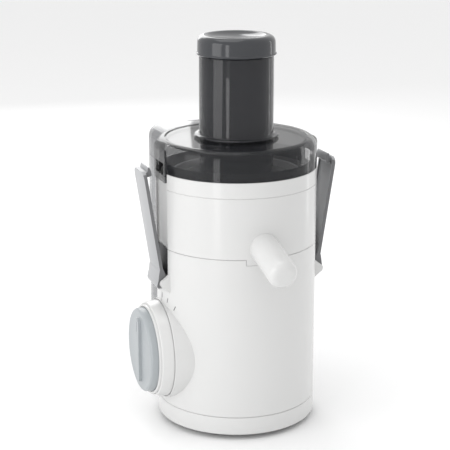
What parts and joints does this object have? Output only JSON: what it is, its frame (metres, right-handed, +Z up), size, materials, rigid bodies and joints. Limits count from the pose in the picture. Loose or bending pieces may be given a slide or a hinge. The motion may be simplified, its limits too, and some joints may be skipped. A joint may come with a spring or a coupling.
{
  "type": "centrifugal juicer",
  "caption": "Compact centrifugal juicer: round white body with side clamp arms, smoke-clear lid and feed tube, front spout, rear pulp container and side speed dial.",
  "frame": {"origin": "where the vertical drive axis meets the worktop, under the feet", "axes": "+Z up, -Y to the front where the spout points, +X to the right in the front view"},
  "size_m": [0.212, 0.2702, 0.4],
  "materials": {
    "white_plastic": "glossy",
    "smoke_clear": "clear smoke",
    "pulp_bin_plastic": "satin",
    "clamp_plastic": "satin",
    "grey_plastic": "satin",
    "dark_plastic": "satin",
    "rubber": "matte",
    "stainless": "brushed",
    "steel": "satin",
    "lamination": "satin",
    "copper": "varnished wire",
    "brass": "satin",
    "carbon": "matte"
  },
  "bodies": {
    "base": {"base_screw_1": "steel", "base_screw_2": "steel", "base_screw_3": "steel", "base_screw_4": "steel", "base_tray": "white_plastic", "bearing_lower": "steel", "bearing_upper": "steel", "bracket_lower": "steel", "bracket_upper": "steel", "brush_front": "carbon", "brush_holder_front": "brass", "brush_holder_rear": "brass", "brush_rear": "carbon", "clamp_left_pin": "steel", "clamp_right_pin": "steel", "cord_gland": "dark_plastic", "dial_ring": "white_plastic", "field_coil_left": "copper", "field_coil_right": "copper", "interlock_switch": "dark_plastic", "juice_collector": "white_plastic", "motor_housing": "white_plastic", "motor_mount_1": "rubber", "motor_mount_2": "rubber", "motor_mount_3": "rubber", "motor_mount_4": "rubber", "rubber_foot_1": "rubber", "rubber_foot_2": "rubber", "rubber_foot_3": "rubber", "rubber_foot_4": "rubber", "shaft_seal": "rubber", "speed_switch": "dark_plastic", "stator_core": "lamination"},
    "clamp_left": {"clamp_left": "clamp_plastic"},
    "clamp_right": {"clamp_right": "clamp_plastic"},
    "lid": {"lid": "smoke_clear"},
    "pusher": {"pusher": "smoke_clear", "pusher_cap": "smoke_clear"},
    "container": {"pulp_container": "pulp_bin_plastic"},
    "dial": {"dial_knob": "grey_plastic"},
    "basket": {"motor_shaft": "steel", "rotor_core": "lamination", "winding_lower": "copper", "winding_upper": "copper", "commutator": "copper", "cooling_fan": "dark_plastic", "drive_coupling": "dark_plastic", "basket_hub": "white_plastic", "grater_disc": "stainless", "strainer_wall": "stainless", "strainer_rim": "white_plastic"}
  },
  "joints": [
    {"name": "clamp_left_swing", "type": "hinge", "parent": "base", "child": "clamp_left", "pos_m": [-0.084, 0, 0.155], "axis": [0, -1, 0], "range_deg": [-8.8, 36]},
    {"name": "clamp_right_swing", "type": "hinge", "parent": "base", "child": "clamp_right", "pos_m": [0.084, 0, 0.155], "axis": [0, 1, 0], "range_deg": [-8.8, 36]},
    {"name": "lid_lift", "type": "slide", "parent": "base", "child": "lid", "axis": [0, 0, 1], "range_m": [0, 0.08]},
    {"name": "pusher_slide", "type": "slide", "parent": "lid", "child": "pusher", "axis": [0, 0, 1], "range_m": [0, 0.12]},
    {"name": "container_slide", "type": "slide", "parent": "base", "child": "container", "axis": [0, 1, 0], "range_m": [0, 0.1]},
    {"name": "dial_turn", "type": "hinge", "parent": "base", "child": "dial", "pos_m": [-0.09, 0, 0.08], "axis": [-1, 0, 0], "range_deg": [-45, 90]},
    {"name": "basket_spin", "type": "hinge", "parent": "base", "child": "basket", "pos_m": [0, 0, 0.2], "axis": [0, 0, 1], "continuous": true}
  ]
}
